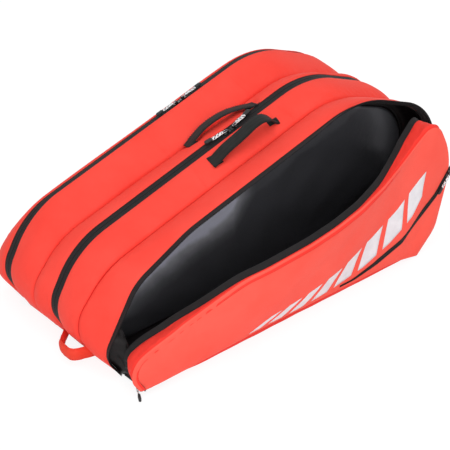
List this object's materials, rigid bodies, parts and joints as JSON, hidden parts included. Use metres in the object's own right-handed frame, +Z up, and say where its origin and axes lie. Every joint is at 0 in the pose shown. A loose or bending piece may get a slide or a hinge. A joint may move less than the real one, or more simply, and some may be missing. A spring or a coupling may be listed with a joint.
{
  "type": "racket tournament bag",
  "caption": "Wide padded racket bag with side-by-side zipped compartments, one lying open, carry handles, an end grab loop and stowed shoulder straps.",
  "frame": {"origin": "middle of the base's underside, where the bag stands", "axes": "+X from the narrow handle end to the wide head end, -Y the open front side, +Z up"},
  "size_m": [0.806, 0.4929, 0.3382],
  "materials": {
    "body_cloth": "coated polyester twill, matt",
    "side_cloth": "smooth coated polyester, soft sheen",
    "zip_tape": "tightly woven zip tape",
    "zip_coil": "nylon coil",
    "zip_slider_metal": "black lacquered zinc",
    "woven_pull": "woven ribbon, white with black threads",
    "rubber_tip": "soft moulded rubber",
    "foil_lining": "dark silver foil-faced lining",
    "inner_lining": "thin black lining",
    "webbing": "ribbed nylon webbing",
    "air_mesh": "padded air mesh",
    "buckle_plastic": "moulded acetal"
  },
  "bodies": {
    "bag": {"base_panel": "body_cloth", "rear_side_panel": "side_cloth", "rear_divider": "body_cloth", "front_divider": "body_cloth", "rear_outer_gusset": "body_cloth", "rear_inner_gusset": "body_cloth", "middle_rear_gusset": "body_cloth", "middle_front_gusset": "body_cloth", "front_inner_gusset": "body_cloth", "rear_zip_tape": "zip_tape", "middle_zip_tape": "zip_tape", "front_inner_zip_tape": "zip_tape", "closed_zip_coils": "zip_coil", "front_inner_coil": "zip_coil", "zip_end_stubs": "zip_tape", "thermal_lining": "foil_lining", "rear_pocket_zip": "zip_tape", "handle_sewn_ends": "webbing", "loop_sewn_ends": "body_cloth"},
    "front_flap": {"front_side_panel": "side_cloth", "front_outer_gusset": "body_cloth", "front_outer_zip_tape": "zip_tape", "front_outer_coil": "zip_coil", "flap_lining": "inner_lining", "front_pocket_zip": "zip_tape"},
    "rear_slider_a_body": {"rear_slider_a": "zip_slider_metal"},
    "rear_pull_a_body": {"rear_pull_a": "woven_pull", "rear_tip_a": "rubber_tip"},
    "rear_slider_b_body": {"rear_slider_b": "zip_slider_metal"},
    "rear_pull_b_body": {"rear_pull_b": "woven_pull", "rear_tip_b": "rubber_tip"},
    "middle_slider_a_body": {"middle_slider_a": "zip_slider_metal"},
    "middle_pull_a_body": {"middle_pull_a": "woven_pull", "middle_tip_a": "rubber_tip"},
    "middle_slider_b_body": {"middle_slider_b": "zip_slider_metal"},
    "middle_pull_b_body": {"middle_pull_b": "woven_pull", "middle_tip_b": "rubber_tip"},
    "front_slider_a_body": {"front_slider_a": "zip_slider_metal"},
    "front_pull_a_body": {"front_pull_a": "woven_pull", "front_tip_a": "rubber_tip"},
    "front_slider_b_body": {"front_slider_b": "zip_slider_metal"},
    "front_pull_b_body": {"front_pull_b": "woven_pull", "front_tip_b": "rubber_tip"},
    "front_pocket_slider_body": {"front_pocket_slider": "zip_slider_metal"},
    "front_pocket_pull_body": {"front_pocket_pull": "woven_pull", "front_pocket_tip": "rubber_tip"},
    "rear_pocket_slider_body": {"rear_pocket_slider": "zip_slider_metal"},
    "rear_pocket_pull_body": {"rear_pocket_pull": "woven_pull", "rear_pocket_tip": "rubber_tip"},
    "front_handle": {"front_carry_handle": "webbing"},
    "rear_handle": {"rear_carry_handle": "webbing"},
    "end_loop": {"grab_loop": "body_cloth"},
    "left_strap": {"left_strap_pad": "air_mesh", "left_strap_webbing": "webbing", "left_ladder_lock": "buckle_plastic"},
    "right_strap": {"right_strap_pad": "air_mesh", "right_strap_webbing": "webbing", "right_ladder_lock": "buckle_plastic"}
  },
  "joints": [
    {"name": "flap_fold", "type": "hinge", "parent": "bag", "child": "front_flap", "pos_m": [0, -0.212, 0.008], "axis": [1, 0, 0], "range_deg": [0, 50]},
    {"name": "rear_zip_a", "type": "slide", "parent": "bag", "child": "rear_slider_a_body", "axis": [0.9583, 0, 0.2857], "range_m": [-0.24, 0]},
    {"name": "rear_pull_lift_a", "type": "hinge", "parent": "rear_slider_a_body", "child": "rear_pull_a_body", "pos_m": [-0.00414, 0.14771, 0.29252], "axis": [0.0977, 0.9397, -0.3278], "range_deg": [0, 90]},
    {"name": "rear_zip_b", "type": "slide", "parent": "bag", "child": "rear_slider_b_body", "axis": [0.9583, 0, 0.2857], "range_m": [0, 0.06]},
    {"name": "rear_pull_lift_b", "type": "hinge", "parent": "rear_slider_b_body", "child": "rear_pull_b_body", "pos_m": [0.01146, 0.14771, 0.29717], "axis": [-0.0977, -0.9397, 0.3278], "range_deg": [0, 90]},
    {"name": "middle_zip_a", "type": "slide", "parent": "bag", "child": "middle_slider_a_body", "axis": [0.9583, 0, 0.2857], "range_m": [-0.24, 0]},
    {"name": "middle_pull_lift_a", "type": "hinge", "parent": "middle_slider_a_body", "child": "middle_pull_a_body", "pos_m": [-0.00423, 0, 0.29281], "axis": [0, 1, 0], "range_deg": [0, 90]},
    {"name": "middle_zip_b", "type": "slide", "parent": "bag", "child": "middle_slider_b_body", "axis": [0.9583, 0, 0.2857], "range_m": [0, 0.06]},
    {"name": "middle_pull_lift_b", "type": "hinge", "parent": "middle_slider_b_body", "child": "middle_pull_b_body", "pos_m": [0.01137, 0, 0.29746], "axis": [0, -1, 0], "range_deg": [0, 90]},
    {"name": "front_zip_a", "type": "slide", "parent": "bag", "child": "front_slider_a_body", "axis": [0, 1, 0], "range_m": [-0.008, 0.02]},
    {"name": "front_pull_swing_a", "type": "hinge", "parent": "front_slider_a_body", "child": "front_pull_a_body", "pos_m": [-0.3624, -0.186, 0.007], "axis": [0, 0, -1], "range_deg": [-26, 50]},
    {"name": "front_zip_b", "type": "slide", "parent": "bag", "child": "front_slider_b_body", "axis": [0, -1, 0], "range_m": [-0.008, 0.02]},
    {"name": "front_pull_swing_b", "type": "hinge", "parent": "front_slider_b_body", "child": "front_pull_b_body", "pos_m": [0.3084, -0.106, 0.007], "axis": [0, 0, -1], "range_deg": [0, 75]},
    {"name": "front_pocket_zip_slide", "type": "slide", "parent": "front_flap", "child": "front_pocket_slider_body", "axis": [0.6233, 0, 0.782], "range_m": [-0.08, 0.005]},
    {"name": "front_pocket_pull_lift", "type": "hinge", "parent": "front_pocket_slider_body", "child": "front_pocket_pull_body", "pos_m": [0.36203, -0.2186, 0.15949], "axis": [-0.782, 0, 0.6233], "range_deg": [0, 120]},
    {"name": "rear_pocket_zip_slide", "type": "slide", "parent": "bag", "child": "rear_pocket_slider_body", "axis": [0.6233, 0, 0.782], "range_m": [-0.08, 0.005]},
    {"name": "rear_pocket_pull_lift", "type": "hinge", "parent": "rear_pocket_slider_body", "child": "rear_pocket_pull_body", "pos_m": [0.36203, 0.2186, 0.15949], "axis": [0.782, 0, -0.6233], "range_deg": [0, 120]},
    {"name": "front_handle_tilt", "type": "hinge", "parent": "bag", "child": "front_handle", "pos_m": [-0.00249, -0.04671, 0.29964], "axis": [0.9613, -0.1146, 0.2504], "range_deg": [-50, 45]},
    {"name": "rear_handle_tilt", "type": "hinge", "parent": "bag", "child": "rear_handle", "pos_m": [0.00693, 0.04399, 0.29763], "axis": [0.9333, -0.1146, 0.3404], "range_deg": [-45, 60]},
    {"name": "grab_loop_lift", "type": "hinge", "parent": "bag", "child": "end_loop", "pos_m": [-0.384, -0.04, 0.024], "axis": [0, 1, 0], "range_deg": [-14, 52]},
    {"name": "left_strap_swing", "type": "hinge", "parent": "bag", "child": "left_strap", "pos_m": [-0.06, 0.0375, 0.0012], "axis": [-1, 0, 0], "range_deg": [0, 85]},
    {"name": "right_strap_swing", "type": "hinge", "parent": "bag", "child": "right_strap", "pos_m": [-0.06, -0.0375, 0.0012], "axis": [1, 0, 0], "range_deg": [0, 85]}
  ]
}
